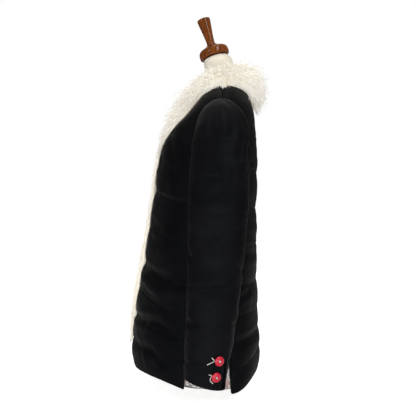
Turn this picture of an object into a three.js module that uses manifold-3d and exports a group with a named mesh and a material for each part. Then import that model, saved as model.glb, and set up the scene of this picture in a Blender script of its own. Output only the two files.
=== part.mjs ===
// A women's down coat in black satin with a long-haired fur collar and fur front edges, on a limbless
// display form. Millimetres, +Z up. The front faces -Y and the wearer's left is +X. Heights in the tables
// are above the hem at the side seam.
import * as THREE from "three";
import { mergeVertices } from "three/addons/utils/BufferGeometryUtils.js";
import Module from "manifold-3d";

const wasm = await Module();
wasm.setup();

// Driving dimensions of the coat.
const HEM_ABOVE_FLOOR = 35;
const WADDING = 13; // shell, down and lining together, where the down stands highest
const SEAM = 0.4; // gap between two panels at a seam
const FRONT_LIFT = 45; // how much higher the quilting lies in front than at the side
const LIFT_GROWS = 180; // height by which it is that high, from the hem's own lift
const LIFT_FADES = [430, 600]; // heights between which the bust takes it up again
const NECK_DIP = 60; // how far the front of the neck seam lies below the back
const NECK_SEAM = 735;
const CORNER = { lift: 26, width: 0.27, fades: 62 }; // rounding of the lower front corners
const FRONT_GAP = { chest: 7, hem: 20, neck: 44 }; // half the distance between the front edges
const OPENING_STARTS = 590; // height where the front edges turn away to the neck
const SLIT = { height: 240, half: 58, curve: 0.25 }; // side slit, open at the hem
const SLEEVE_WALL = 10;
const SLEEVE_QUILTING = { first: 56, pitch: 78, dip: 2 };
const SLEEVE_STARTS = 0.035; // share of the sleeve's centre line that stays inside the body
const CUFF_SLIT = { height: 84, width: 15, turn: 64, through: 100 }; // a wedge, at a turn from the outside
const CUFF_RISE = { height: 16, fades: 90 }; // how much higher the cuff's edge lies in front than behind
const LINING = { cloth: 1.5, low: 8, high: 290, clear: 1.9 };
const CUFF_LINING = { cloth: 1.5, low: 5, high: 104, clear: 0.8 };
const FORM_CLEAR = 1; // between the form's shoulders and the coat that they carry
const NEAR = 0.5; // clearance of pieces that lie on the coat

// The coat's outside. side is how far back the side seam lies; the last two columns are 2 for an ellipse,
// more for a squarer ring.
const BODY = [
  { height: 0, halfWidth: 235, front: -203, back: 136, side: 0, frontSquare: 2.0, backSquare: 2.4 },
  { height: 100, halfWidth: 228, front: -194, back: 134, side: 0, frontSquare: 2.0, backSquare: 2.4 },
  { height: 200, halfWidth: 219, front: -176, back: 131, side: 1, frontSquare: 2.0, backSquare: 2.4 },
  { height: 300, halfWidth: 209, front: -159, back: 130, side: 3, frontSquare: 2.05, backSquare: 2.4 },
  { height: 400, halfWidth: 200, front: -144, back: 130, side: 8, frontSquare: 2.1, backSquare: 2.35 },
  { height: 500, halfWidth: 195, front: -133, back: 131, side: 16, frontSquare: 2.1, backSquare: 2.3 },
  { height: 560, halfWidth: 196, front: -123, back: 131, side: 22, frontSquare: 2.1, backSquare: 2.25 },
  { height: 600, halfWidth: 198, front: -111, back: 129, side: 27, frontSquare: 2.05, backSquare: 2.2 },
  { height: 640, halfWidth: 197, front: -86, back: 127, side: 31, frontSquare: 2.0, backSquare: 2.1 },
  { height: 670, halfWidth: 187, front: -69, back: 122, side: 34, frontSquare: 2.0, backSquare: 2.0 },
  { height: 690, halfWidth: 165, front: -59, back: 115, side: 35, frontSquare: 2.0, backSquare: 2.0 },
  { height: 705, halfWidth: 138, front: -50, back: 108, side: 36, frontSquare: 2.0, backSquare: 2.0 },
  { height: 720, halfWidth: 108, front: -43, back: 100, side: 37, frontSquare: 2.0, backSquare: 2.0 },
  { height: NECK_SEAM, halfWidth: 82, front: -35, back: 94, side: 38, frontSquare: 2.0, backSquare: 2.0 },
];

// How high the hem hangs, from the middle of the back (-1) past the side seam (0) to the middle of the
// front (1).
const HEM = [
  { ahead: -1, lift: 18 },
  { ahead: -0.86, lift: 18 },
  { ahead: -0.68, lift: 7 },
  { ahead: -0.5, lift: -4 },
  { ahead: -0.25, lift: -3 },
  { ahead: 0, lift: 0 },
  { ahead: 0.15, lift: 1 },
  { ahead: 0.35, lift: 10.5 },
  { ahead: 0.58, lift: 21 },
  { ahead: 1, lift: 21 },
];

// Each line of quilting: its height at the side seam and how far it is drawn in below the down beside it.
const QUILTING = [
  { height: 0, dip: 5 },
  { height: 55, dip: 2.5 },
  { height: 108, dip: 5.5 },
  { height: 168, dip: 3 },
  { height: 234, dip: 6.5 },
  { height: 324, dip: 3 },
  { height: 415, dip: 5.5 },
  { height: 505, dip: 3 },
  { height: 600, dip: 3 },
];

// The left sleeve's centre line from inside the shoulder to the cuff, with half its size across and fore
// and aft.
const SLEEVE = [
  { out: 140, fore: 31, height: 596, across: 78, wide: 58 },
  { out: 196, fore: 31, height: 588, across: 74, wide: 62 },
  { out: 236, fore: 28, height: 548, across: 62, wide: 66 },
  { out: 256, fore: 25, height: 480, across: 53, wide: 68 },
  { out: 262, fore: 22, height: 400, across: 49, wide: 67 },
  { out: 267, fore: 16, height: 300, across: 45, wide: 62 },
  { out: 275, fore: 9, height: 200, across: 43, wide: 58 },
  { out: 282, fore: -2, height: 100, across: 41, wide: 51 },
  { out: 283, fore: -8, height: 36, across: 40, wide: 46 },
];

// The fur collar's left half, from the middle of the back to the front edge. out, fore and height are the
// middle of the roll, wide and thick its half sizes along the coat and off it, and the last three columns
// point away from the coat.
const COLLAR = [
  { out: 0, fore: 112, height: 744, wide: 62, thick: 36, faceOut: 0, faceFore: 0.94, faceUp: 0.34 },
  { out: 48, fore: 100, height: 745, wide: 59, thick: 34, faceOut: 0.45, faceFore: 0.75, faceUp: 0.48 },
  { out: 80, fore: 67, height: 748, wide: 54, thick: 32, faceOut: 0.62, faceFore: 0.45, faceUp: 0.64 },
  { out: 91, fore: 22, height: 739, wide: 48, thick: 30, faceOut: 0.6, faceFore: 0, faceUp: 0.8 },
  { out: 80, fore: -27, height: 709, wide: 41, thick: 28, faceOut: 0.5, faceFore: -0.45, faceUp: 0.74 },
  { out: 63, fore: -68, height: 664, wide: 34, thick: 25, faceOut: 0.42, faceFore: -0.68, faceUp: 0.6 },
  { out: 46, fore: -96, height: 616, wide: 29, thick: 20, faceOut: 0.35, faceFore: -0.82, faceUp: 0.45 },
];
const COLLAR_END = { height: 558, wide: 18, thick: 9 }; // where the collar passes into the front edge
// The front edge's fur: half its width, how far its middle lies beside the edge, where it ends and the
// distance between its sections. The table has half its thickness at each height.
const EDGE_FUR = { wide: 16, inset: 13, low: 44, step: 60 };
const EDGE_THICKNESS = [
  { height: 44, thick: 7 },
  { height: 90, thick: 9 },
  { height: 160, thick: 12 },
  { height: 250, thick: 11 },
  { height: 330, thick: 7.5 },
  { height: 560, thick: 6 },
];

// The display form below the shoulders.
const FORM = [
  { height: 128, halfWidth: 148, front: -94, back: 98, side: 2 },
  { height: 200, halfWidth: 162, front: -100, back: 106, side: 2 },
  { height: 290, halfWidth: 140, front: -88, back: 92, side: 2 },
  { height: 370, halfWidth: 118, front: -76, back: 78, side: 3 },
  { height: 450, halfWidth: 128, front: -92, back: 84, side: 6 },
  { height: 530, halfWidth: 146, front: -112, back: 94, side: 12 },
  { height: 590, halfWidth: 160, front: -78, back: 100, side: 24 },
  { height: 640, halfWidth: 172, front: -52, back: 100, side: 30 },
];
const FORM_MEETS_COAT = [560, 656]; // heights between which the form comes up against the coat
const FORM_HALF = { width: 150, depth: 90 }; // half sizes that the form is near, for swelling it
const NECK = {
  tilt: 17.5,
  fore: 19, height: 816, radius: 41.5,
  baseFore: 42, baseHeight: 744, baseRadius: 47,
};
// Turned pieces: radius and height of each corner.
const CAP_PROFILE = [
  [0, 0], [39, 0], [40.5, 3], [40.5, 13], [38.5, 19],
  [33, 23.5], [24, 25.5], [18, 26], [17, 31], [0, 31],
];
const FINIAL_PROFILE = [
  [0, 0], [12.5, 0], [10.5, 6], [11.5, 20], [14.5, 44], [18, 68], [17.5, 72], [13, 74], [0, 74.5],
];
const POLE_RADIUS = 15;
const POLE_FORE = -4;
const BASE = { radius: 100, thickness: 10, edge: 3 };

// The button's radii, and the heights off the cloth of its seat, the disc's underside, rim, brow and dome.
const BUTTON = {
  radius: 11, shank: 3.4, eye: 3.4,
  seat: 0.8, under: 3.2, rim: 5.4, brow: 7.6, dome: 9, eyeDepth: 1.4,
};
const KNOT = { radius: 2.6, straight: 0.8, height: 2.4 };
const LOOP_RADIUS = 1.1;
// Faces round each round piece.
const SIDES = { turned: 22, pole: 16, base: 32, button: 14, knot: 8, cord: 6 };
const LOOP_STEPS = 11;
// Each button's height and its turn round the cuff, and its loop's route from the button's middle: how far
// forward, then how far up.
const BUTTONS = {
  upper: {
    height: 101, turn: 28,
    loop: [[16.5, 4.4], [12.6, 1.6], [9.4, -0.4], [13, -3.6], [18.6, -8], [24.6, -12.2]],
  },
  lower: {
    height: 66, turn: 26,
    loop: [[15.8, 3], [12, 4], [8.9, 1.4], [11.6, -6], [10.4, -13.6], [4.2, -18.6]],
  },
};

const SATIN = { color: 0x17171a, roughness: 0.42, metalness: 0 };
const FUR = { color: 0xf2e9d8, roughness: 0.95, metalness: 0 };
const PRINT = { color: 0xd9d4cc, roughness: 0.6, metalness: 0 };
const RED = { color: 0xc8152c, roughness: 0.3, metalness: 0 };
const CORD = { color: 0xa9a5a0, roughness: 0.6, metalness: 0 };
const JERSEY = { color: 0xf0e8d8, roughness: 0.9, metalness: 0 };
const WOOD = { color: 0x6b2a10, roughness: 0.2, metalness: 0 };
const STEEL = { color: 0xb8b8ba, roughness: 0.35, metalness: 1 };

// ---- Tables, walls and booleans ----

const mix = (a, b, share) => a + (b - a) * share;
const smooth = (low, high, value) => THREE.MathUtils.smoothstep(value, low, high);
const radians = THREE.MathUtils.degToRad;
const SMALL_TURN = 0.01; // steps for working out directions
const SMALL_SHARE = 0.01;

// Every column of a table at a place between its rows, on one smooth curve through them.
function between(rows, place) {
  const at = THREE.MathUtils.clamp(place, 0, rows.length - 1);
  const row = Math.min(Math.floor(at), rows.length - 2);
  const near = [row - 1, row, row + 1, row + 2].map((i) => (
    rows[THREE.MathUtils.clamp(i, 0, rows.length - 1)]
  ));
  const t = at - row;
  return Object.fromEntries(Object.keys(rows[0]).map((column) => {
    const [a, b, c, d] = near.map((r) => r[column]);
    const bend = (2 * a - 5 * b + 4 * c - d) * t * t + (3 * b - 3 * c + d - a) * t * t * t;
    return [column, b + ((c - a) * t + bend) / 2];
  }));
}

// A table's columns at a value of its first column, which rises from row to row.
function section(rows, value) {
  const key = Object.keys(rows[0])[0];
  const above = rows.findIndex((row) => row[key] >= value);
  if (above === 0) return rows[0];
  if (above < 0) return rows[rows.length - 1];
  const [low, high] = [rows[above - 1], rows[above]];
  return between(rows, above - 1 + (value - low[key]) / (high[key] - low[key]));
}

function geometryOf(points, faces) {
  return new THREE.BufferGeometry().setFromPoints(points).setIndex(faces);
}

// The faces of one quad, split the other way beyond the middle, so that a whole mesh is its own mirror image.
const quad = (a, b, c, d, beyond) => (beyond ? [a, b, d, b, c, d] : [a, b, c, a, c, d]);

function grid(rows, steps, at, { mirrored, inward }) {
  const faces = [];
  for (let i = 0; i < rows - 1; i++) {
    for (let j = 0; j < steps; j++) {
      const corners = [at(i, j), at(i, j + 1), at(i + 1, j + 1), at(i + 1, j)];
      const face = quad(...corners, mirrored && j >= steps / 2);
      faces.push(...(inward ? face.reverse() : face));
    }
  }
  return faces;
}

// A wall between two grids of points: rows run up, columns run anticlockwise seen from above. The plainer
// inside has fewer rows, the ones that kept names; a ring joins up with itself.
function wall(outer, inner, { kept = outer.map((_, i) => i), ring = false, mirrored = false } = {}) {
  const columns = outer[0].length;
  const steps = ring ? columns : columns - 1;
  const out = (i, j) => i * columns + (j % columns);
  const into = (i, j) => outer.length * columns + i * columns + (j % columns);
  const faces = [
    ...grid(outer.length, steps, out, { mirrored }),
    ...grid(inner.length, steps, into, { mirrored, inward: true }),
  ];
  const [top, topInner] = [outer.length - 1, inner.length - 1];
  for (let j = 0; j < steps; j++) {
    faces.push(...quad(out(0, j), into(0, j), into(0, j + 1), out(0, j + 1)));
    faces.push(...quad(out(top, j), out(top, j + 1), into(topInner, j + 1), into(topInner, j)));
  }
  for (let k = 0; k < topInner && !ring; k++) {
    for (let i = kept[k]; i < kept[k + 1]; i++) {
      faces.push(out(i, 0), out(i + 1, 0), into(k, 0), out(i + 1, steps), out(i, steps), into(k, steps));
    }
    faces.push(out(kept[k + 1], 0), into(k + 1, 0), into(k, 0));
    faces.push(into(k + 1, steps), out(kept[k + 1], steps), into(k, steps));
  }
  return geometryOf([...outer.flat(), ...inner.flat()], faces);
}

// A solid through closed rings of points, with a flat fan over each end.
function loft(rings, mirrored = false) {
  const columns = rings[0].length;
  const at = (i, j) => i * columns + (j % columns);
  const middle = (ring) => ring.reduce((sum, p) => sum.add(p), new THREE.Vector3()).divideScalar(columns);
  const last = rings.length - 1;
  const points = [...rings.flat(), middle(rings[0]), middle(rings[last])];
  const faces = grid(rings.length, columns, at, { mirrored });
  for (let j = 0; j < columns; j++) {
    faces.push(points.length - 2, at(0, j + 1), at(0, j), points.length - 1, at(last, j), at(last, j + 1));
  }
  return geometryOf(points, faces);
}

function solid(geometry) {
  const bare = geometry.clone();
  bare.deleteAttribute("normal");
  bare.deleteAttribute("uv");
  const merged = mergeVertices(bare, 1e-3);
  const vertProperties = new Float32Array(merged.attributes.position.array);
  const triVerts = new Uint32Array(merged.index.array);
  return new wasm.Manifold(new wasm.Mesh({ numProp: 3, vertProperties, triVerts }));
}

// The largest body of a cut solid, as geometry.
function geometryFrom(cut) {
  const [largest] = cut.decompose().sort((a, b) => b.volume() - a.volume());
  const mesh = largest.getMesh();
  const geometry = new THREE.BufferGeometry();
  geometry.setAttribute("position", new THREE.BufferAttribute(new Float32Array(mesh.vertProperties), 3));
  return geometry.setIndex(new THREE.BufferAttribute(new Uint32Array(mesh.triVerts), 1));
}

// ---- The coat's body ----

// How far the cloth at a height is lifted: by the hem's own line low down, and by the bust in front. It
// drops to the front of the neck.
function lift(ahead, height) {
  const above = smooth(0, LIFT_GROWS, height);
  const hem = (1 - above) * section(HEM, ahead).lift;
  const bust = FRONT_LIFT * above * (1 - smooth(...LIFT_FADES, height));
  const neck = NECK_DIP * smooth(LIFT_FADES[1], NECK_SEAM, height);
  return hem + Math.max(ahead, 0) ** 2 * (bust - neck);
}

// turn is 0 at the middle of the front, a quarter turn at the wearer's left side and a half turn at the back.
function ringPoint(ring, turn, height) {
  const aside = Math.sin(turn);
  const ahead = Math.cos(turn);
  const depth = ahead > 0 ? ring.side - ring.front : ring.back - ring.side;
  const power = 2 / ((ahead > 0 ? ring.frontSquare : ring.backSquare) ?? 2);
  return new THREE.Vector3(
    ring.halfWidth * Math.sign(aside) * Math.abs(aside) ** power,
    ring.side - Math.sign(ahead) * depth * Math.abs(ahead) ** power,
    height + lift(ahead, height),
  );
}

const bodySurface = (turn, height) => ringPoint(section(BODY, height), turn, height);

function bodyNormal(turn, height) {
  const across = bodySurface(turn + SMALL_TURN, height).sub(bodySurface(turn - SMALL_TURN, height));
  const up = bodySurface(turn, Math.min(height + 1, NECK_SEAM)).sub(bodySurface(turn, height - 1));
  return across.cross(up).normalize();
}

function bodyPoint(turn, height, out) {
  return bodySurface(turn, height).addScaledVector(bodyNormal(turn, Math.max(height, 1)), out);
}

function frontGap(height) {
  const below = mix(FRONT_GAP.hem, FRONT_GAP.chest, Math.min(height / OPENING_STARTS, 1));
  return below + (FRONT_GAP.neck - FRONT_GAP.chest) * smooth(OPENING_STARTS, NECK_SEAM, height);
}

// The turn at which the body's outside is a given distance from the middle, in front.
function frontTurn(out, height) {
  const { halfWidth, frontSquare } = section(BODY, height);
  return Math.asin((out / halfWidth) ** (frontSquare / 2));
}

// The turns of a side seam's front and back edge, which part to the slit below.
function sideTurns(height) {
  const ring = section(BODY, height);
  const open = SLIT.half * Math.max(0, 1 - height / SLIT.height) ** SLIT.curve;
  const half = Math.max(SEAM / 2, open);
  return {
    front: Math.acos((half / (ring.side - ring.front)) ** (ring.frontSquare / 2)),
    back: Math.PI - Math.acos((half / (ring.back - ring.side)) ** (ring.backSquare / 2)),
  };
}

const FRONT_COLUMNS = [0, 0.05, 0.15, 0.27, 0.39, 0.51, 0.63, 0.75, 0.86, 0.95, 1];
const BACK_COLUMNS = [0, 0.03, 0.09, 0.17, 0.25, 0.33, 0.415, 0.5, 0.585, 0.67, 0.75, 0.83, 0.91, 0.97, 1];
const EDGE_DIP = 5; // how far a seam is drawn in
const ROWS_A_BAFFLE = [0, 0.3, 0.7]; // each baffle's rows of points, as shares of its height
const SHOULDER_ROWS = [632, 656, 678, 698, 714, 726, NECK_SEAM];

const baffles = QUILTING.slice(0, -1).map((line, i) => ({ low: line, high: QUILTING[i + 1] }));
const HEIGHTS = [
  ...baffles.flatMap(({ low, high }) => ROWS_A_BAFFLE.map((share) => mix(low.height, high.height, share))),
  QUILTING.at(-1).height,
  ...SHOULDER_ROWS,
];
const PLAIN_ROWS = HEIGHTS.map((_, i) => i).filter((i) => (
  i >= baffles.length * ROWS_A_BAFFLE.length || i % ROWS_A_BAFFLE.length === 0
));

// How plump a baffle is at a share of its height: 0 at its lines of quilting, 1 in the middle.
const plump = (share) => Math.abs(Math.sin(Math.PI * share)) ** 0.6;

function puffAt(height, column) {
  const edge = column === 0 || column === 1 ? EDGE_DIP : 0;
  const baffle = baffles.find(({ low, high }) => height >= low.height && height <= high.height);
  const last = QUILTING.at(-1);
  if (!baffle) return -Math.max(edge, last.dip * (1 - smooth(last.height, NECK_SEAM, height)));
  const share = (height - baffle.low.height) / (baffle.high.height - baffle.low.height);
  return -Math.max(edge, mix(baffle.low.dip, baffle.high.dip, share) * (1 - plump(share)));
}

// One row of a panel's points. corner lifts the lowest rows towards the front edge.
function frontRow(height, side, out) {
  const [from, to] = [frontTurn(frontGap(height), height), sideTurns(height).front];
  return FRONT_COLUMNS.map((column) => {
    const point = bodyPoint(mix(from, to, column), height, out(height, column));
    const near = Math.max(0, 1 - column / CORNER.width) ** 2;
    const corner = CORNER.lift * near * Math.max(0, 1 - height / CORNER.fades);
    return point.setX(side * point.x).setZ(point.z + corner);
  });
}

function backRow(height, out) {
  const from = sideTurns(height).back;
  return BACK_COLUMNS.map((column) => (
    bodyPoint(mix(from, 2 * Math.PI - from, column), height, out(height, column))
  ));
}

const inside = () => -WADDING;
const swollen = (height, column) => puffAt(height, column) + NEAR;

// The whole body filled in, a little larger than the panels, to cut what lies against them.
const bodyFilled = solid(loft([-NEAR, ...HEIGHTS].map((height) => [
  ...frontRow(height, 1, swollen),
  ...backRow(height, swollen),
  ...frontRow(height, -1, swollen).reverse(),
]), true));

// ---- Sleeves ----

const sleeveLine = new THREE.CatmullRomCurve3(
  SLEEVE.map((row) => new THREE.Vector3(row.out, row.fore, row.height)),
);

// The sleeve's middle, directions and half sizes at a share of its centre line, from the cuff up.
function sleeveAt(share) {
  const place = (1 - share) * (SLEEVE.length - 1);
  const { across, wide } = between(SLEEVE, place);
  const middle = sleeveLine.getPoint(1 - share);
  const down = sleeveLine.getTangent(1 - share);
  const aft = new THREE.Vector3(0, 1, 0).addScaledVector(down, -down.y).normalize();
  return { middle, across, wide, aft, outward: aft.clone().cross(down).negate() };
}

const SLEEVE_LENGTH = sleeveLine.getLength();

// A point on the sleeve: turn 0 faces away from the body and a quarter turn faces back.
function sleevePoint(share, turn, out = 0) {
  const { middle, across, wide, aft, outward } = sleeveAt(share);
  const point = middle
    .clone()
    .addScaledVector(outward, Math.cos(turn) * (across + out))
    .addScaledVector(aft, Math.sin(turn) * (wide + out));
  const low = 1 - smooth(0, CUFF_RISE.fades, share * SLEEVE_LENGTH);
  return point.setZ(point.z + (low * CUFF_RISE.height * (1 - Math.sin(turn))) / 2);
}

const SLEEVE_COLUMNS = 18;
const around = (columns, point) => (
  Array.from({ length: columns }, (_, i) => point((2 * Math.PI * i) / columns))
);

function sleeveRing(share, out) {
  return around(SLEEVE_COLUMNS, (turn) => sleevePoint(share, turn, out));
}

function sleevePuff(share) {
  const baffles = (share * SLEEVE_LENGTH - SLEEVE_QUILTING.first) / SLEEVE_QUILTING.pitch;
  return -SLEEVE_QUILTING.dip * (1 - plump(baffles));
}

// Shares of the centre line: the two rows below the first baffle, then every baffle's rows.
function sleeveShares() {
  const { first, pitch } = SLEEVE_QUILTING;
  const above = Array.from({ length: Math.floor(SLEEVE_LENGTH / pitch) }, (_, baffle) => baffle)
    .flatMap((baffle) => ROWS_A_BAFFLE.map((share) => (first + (baffle + share) * pitch) / SLEEVE_LENGTH))
    .filter((share) => share < 1 - SLEEVE_STARTS);
  return [0, first / 2 / SLEEVE_LENGTH, ...above];
}

const sleeveRows = sleeveShares();
const sleevePlain = [
  0,
  ...sleeveRows.slice(2).filter((_, i) => i % ROWS_A_BAFFLE.length === 0),
  sleeveRows.at(-1),
];
const sleeveInside = sleevePlain.map((share) => sleeveRing(share, -SLEEVE_WALL));
const sleeveHollow = solid(loft(sleeveInside));

// A point on the sleeve's facets, between its four nearest corners.
function sleeveSkin(share, turn) {
  const row = sleeveRows.findIndex((next) => next > share) - 1;
  const up = (share - sleeveRows[row]) / (sleeveRows[row + 1] - sleeveRows[row]);
  const column = (turn / (2 * Math.PI)) * SLEEVE_COLUMNS;
  const [low, high] = [row, row + 1].map((i) => {
    const corners = [Math.floor(column), Math.floor(column) + 1].map((j) => (
      sleevePoint(sleeveRows[i], (j * 2 * Math.PI) / SLEEVE_COLUMNS, sleevePuff(sleeveRows[i]))
    ));
    return corners[0].lerp(corners[1], column - Math.floor(column));
  });
  return low.lerp(high, up);
}

// The share of the centre line at which the sleeve's middle has a given height, found in a few steps.
function shareAt(height) {
  let share = 0;
  for (let step = 0; step < 8; step++) share += (height - sleeveAt(share).middle.z) / SLEEVE_LENGTH;
  return share;
}

// A wedge through the back of the cuff, open at its lower end.
function cuffWedge() {
  const { middle } = sleeveAt(0);
  const { width, height, turn, through } = CUFF_SLIT;
  const corners = [[-width / 2, -NEAR], [width / 2, -NEAR], [0, height]];
  const shape = new THREE.Shape(corners.map(([x, y]) => new THREE.Vector2(x, y)));
  const wedge = new THREE.ExtrudeGeometry(shape, { depth: through, bevelEnabled: false });
  wedge.rotateX(Math.PI / 2).rotateZ(Math.PI / 2 + radians(turn)).translate(middle.x, middle.y, middle.z);
  return solid(wedge);
}

function sleeve() {
  const outer = sleeveRows.map((share) => sleeveRing(share, sleevePuff(share)));
  const whole = solid(wall(outer, sleeveInside, { ring: true }));
  return geometryFrom(whole.subtract(bodyFilled).subtract(cuffWedge()));
}

function cuffLining() {
  const { low, high, cloth, clear } = CUFF_LINING;
  const shares = [0, 0.33, 0.67, 1].map((step) => mix(low, high, step) / SLEEVE_LENGTH);
  const ring = (out) => shares.map((share) => sleeveRing(share, out));
  return wall(ring(-SLEEVE_WALL - clear), ring(-SLEEVE_WALL - clear - cloth), { ring: true });
}

// ---- Panels and lining ----

function frontPanel() {
  const outer = HEIGHTS.map((height) => frontRow(height, 1, puffAt));
  const inner = PLAIN_ROWS.map((row) => frontRow(HEIGHTS[row], 1, inside));
  return geometryFrom(solid(wall(outer, inner, { kept: PLAIN_ROWS })).subtract(sleeveHollow));
}

function backPanel() {
  const outer = HEIGHTS.map((height) => backRow(height, puffAt));
  const inner = PLAIN_ROWS.map((row) => backRow(HEIGHTS[row], inside));
  const whole = solid(wall(outer, inner, { kept: PLAIN_ROWS, mirrored: true }));
  return geometryFrom(whole.subtract(sleeveHollow).subtract(sleeveHollow.mirror([1, 0, 0])));
}

// Half of the lining, which hangs free inside the hem and closes the side slits off, from the front edge to
// the middle of the back.
function lining() {
  const { cloth, low, high, clear } = LINING;
  const columns = 16;
  const rows = [low, 95, 190, high];
  const layer = (out) => rows.map((height) => {
    const from = frontTurn(frontGap(height) + LINING.low, height);
    const to = Math.PI - SEAM / 2 / section(BODY, height).halfWidth;
    return Array.from({ length: columns + 1 }, (_, j) => (
      bodyPoint(mix(from, to, j / columns), height, out)
    ));
  });
  return wall(layer(inside() - clear), layer(inside() - clear - cloth));
}

// ---- Fur ----

// The roll of fur from the middle of the back to the front hem: the collar's rows, then rows that follow
// the front edge.
function furRows() {
  const row = (height, { wide, thick = section(EDGE_THICKNESS, height).thick }) => {
    const turn = frontTurn(frontGap(height) + EDGE_FUR.inset, height);
    const middle = bodyPoint(turn, height, 1);
    const face = bodyNormal(turn, height);
    const place = { out: middle.x, fore: middle.y, height: middle.z };
    return { ...place, wide, thick, faceOut: face.x, faceFore: face.y, faceUp: face.z };
  };
  const edge = [];
  for (let height = COLLAR_END.height - EDGE_FUR.step; height > EDGE_FUR.low; height -= EDGE_FUR.step) {
    edge.push(row(height, EDGE_FUR));
  }
  return [...COLLAR, row(COLLAR_END.height, COLLAR_END), ...edge, row(EDGE_FUR.low, EDGE_FUR)];
}

const FUR_ROWS = furRows();
const FUR_COLUMNS = 12;
const COLLAR_STEPS = 13; // sections in each piece
const EDGE_STEPS = 12;
const FUR_STRAIGHT = 0.1; // near the middle of the back the roll runs straight across
const FUR_TANGENT = 0.05; // step along the roll for its direction
const FUR_END = 0.6; // share of its size to which a piece's free end is drawn in

function furRing(place, swell = 1) {
  const middleAt = ({ out, fore, height }) => new THREE.Vector3(out, fore, height);
  const row = between(FUR_ROWS, place);
  const [behind, beyond] = [-FUR_TANGENT, FUR_TANGENT].map((step) => between(FUR_ROWS, place + step));
  const along = middleAt(beyond).sub(middleAt(behind)).normalize();
  if (place < FUR_STRAIGHT) along.set(1, 0, 0);
  const face = new THREE.Vector3(row.faceOut, row.faceFore, row.faceUp).projectOnPlane(along).normalize();
  const across = along.clone().cross(face);
  return around(FUR_COLUMNS, (turn) => middleAt(row)
    .addScaledVector(across, Math.cos(turn) * row.wide * swell)
    .addScaledVector(face, Math.sin(turn) * row.thick * swell));
}

// The fur between two places of the roll, cut to lie on the coat and clear of the neck.
function furPiece(from, to, steps, endShare = 1) {
  const rings = Array.from({ length: steps + 1 }, (_, i) => (
    furRing(mix(from, to, i / steps), i === steps ? endShare : 1)
  ));
  const half = solid(loft(rings.map((ring) => ring.slice().reverse())));
  return geometryFrom(half.subtract(bodyFilled).subtract(formFilled));
}

// ---- Display form ----

// The form's turns are the coat's own, so that its shoulders have the coat's facets.
const FORM_TURNS_FROM = 400;
const NECK_RISES = [0, 0.5, 1];
const BOTTOM_ROUND = [{ height: 128, share: 0.9 }, { height: 134, share: 0.985 }];
const FORM_HEIGHTS = [165, 215, 290, 370, 450, 510, 555, 600, ...SHOULDER_ROWS];

function formTurns(height) {
  const at = Math.max(height, FORM_TURNS_FROM);
  const [from, front, back] = [frontTurn(frontGap(at), at), sideTurns(at).front, sideTurns(at).back];
  const left = FRONT_COLUMNS.slice(0, -1).map((column) => mix(from, front, column));
  return [
    ...left,
    ...BACK_COLUMNS.map((column) => mix(back, 2 * Math.PI - back, column)),
    ...left.map((turn) => 2 * Math.PI - turn).reverse(),
  ];
}

// A ring round the neck's leaning axis, rising is 0 at its foot and 1 under the cap.
function neckRing(rising, swell) {
  const lean = radians(NECK.tilt) * rising;
  const [fore, height] = [mix(NECK.baseFore, NECK.fore, rising), mix(NECK.baseHeight, NECK.height, rising)];
  const radius = mix(NECK.baseRadius, NECK.radius, rising) + swell;
  return formTurns(NECK_SEAM).map((turn) => (
    new THREE.Vector3(Math.sin(turn) * radius, -Math.cos(turn) * radius, 0)
      .applyAxisAngle(new THREE.Vector3(1, 0, 0), lean)
      .add(new THREE.Vector3(0, fore, height))
  ));
}

function formRing(height, share, swell) {
  return formTurns(height).map((turn) => {
    const own = ringPoint(section(FORM, height), turn, height).setZ(height);
    const under = bodyPoint(turn, height, inside() - FORM_CLEAR);
    const point = own.lerp(under, smooth(...FORM_MEETS_COAT, height));
    const [wider, deeper] = [1 + swell / FORM_HALF.width, 1 + swell / FORM_HALF.depth];
    return point.set(point.x * share * wider, point.y * share * deeper, point.z + swell);
  });
}

function torso(swell = 0) {
  return loft([
    ...BOTTOM_ROUND.map(({ height, share }) => formRing(height, share, swell)),
    ...FORM_HEIGHTS.map((height) => formRing(height, 1, swell)),
    ...NECK_RISES.map((rising) => neckRing(rising, swell)),
  ], true);
}

const formFilled = solid(torso(NEAR));

function lathe(profile, sides) {
  const corners = profile.map(([radius, height]) => new THREE.Vector2(radius, height));
  return new THREE.LatheGeometry(corners, sides);
}

// A turned piece on the neck's axis, standing a distance above the top of the neck.
function onNeck(profile, above) {
  const upright = lathe(profile, SIDES.turned).rotateX(Math.PI / 2).translate(0, 0, above);
  return upright.rotateX(radians(NECK.tilt)).translate(0, NECK.fore, NECK.height);
}

function pole() {
  const [low, high] = [BASE.thickness - HEM_ABOVE_FLOOR + SEAM, BOTTOM_ROUND[0].height - SEAM];
  const tube = new THREE.CylinderGeometry(POLE_RADIUS, POLE_RADIUS, high - low, SIDES.pole);
  return tube.rotateX(Math.PI / 2).translate(0, POLE_FORE, (low + high) / 2);
}

function base() {
  const { radius, thickness, edge } = BASE;
  const profile = [
    [0, 0],
    [radius, 0],
    [radius, thickness - edge],
    [radius - edge, thickness],
    [0, thickness],
  ];
  return lathe(profile, SIDES.base).rotateX(Math.PI / 2).translate(0, POLE_FORE, -HEM_ABOVE_FLOOR);
}

// ---- Buttons and their loops ----

// A frame on the cuff's outside at a button: where it stands, outward, forward and up.
function buttonPlace({ height, turn }) {
  const share = shareAt(height);
  const angle = radians(turn);
  const point = sleeveSkin(share, angle);
  const aft = sleevePoint(share, angle + SMALL_TURN).sub(sleevePoint(share, angle - SMALL_TURN)).normalize();
  const up = sleevePoint(share + SMALL_SHARE, angle).sub(sleevePoint(share - SMALL_SHARE, angle)).normalize();
  const out = aft.clone().cross(up).normalize();
  const matrix = new THREE.Matrix4().makeBasis(aft, out, aft.clone().cross(out)).setPosition(point);
  return { share, angle, out, matrix };
}

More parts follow.
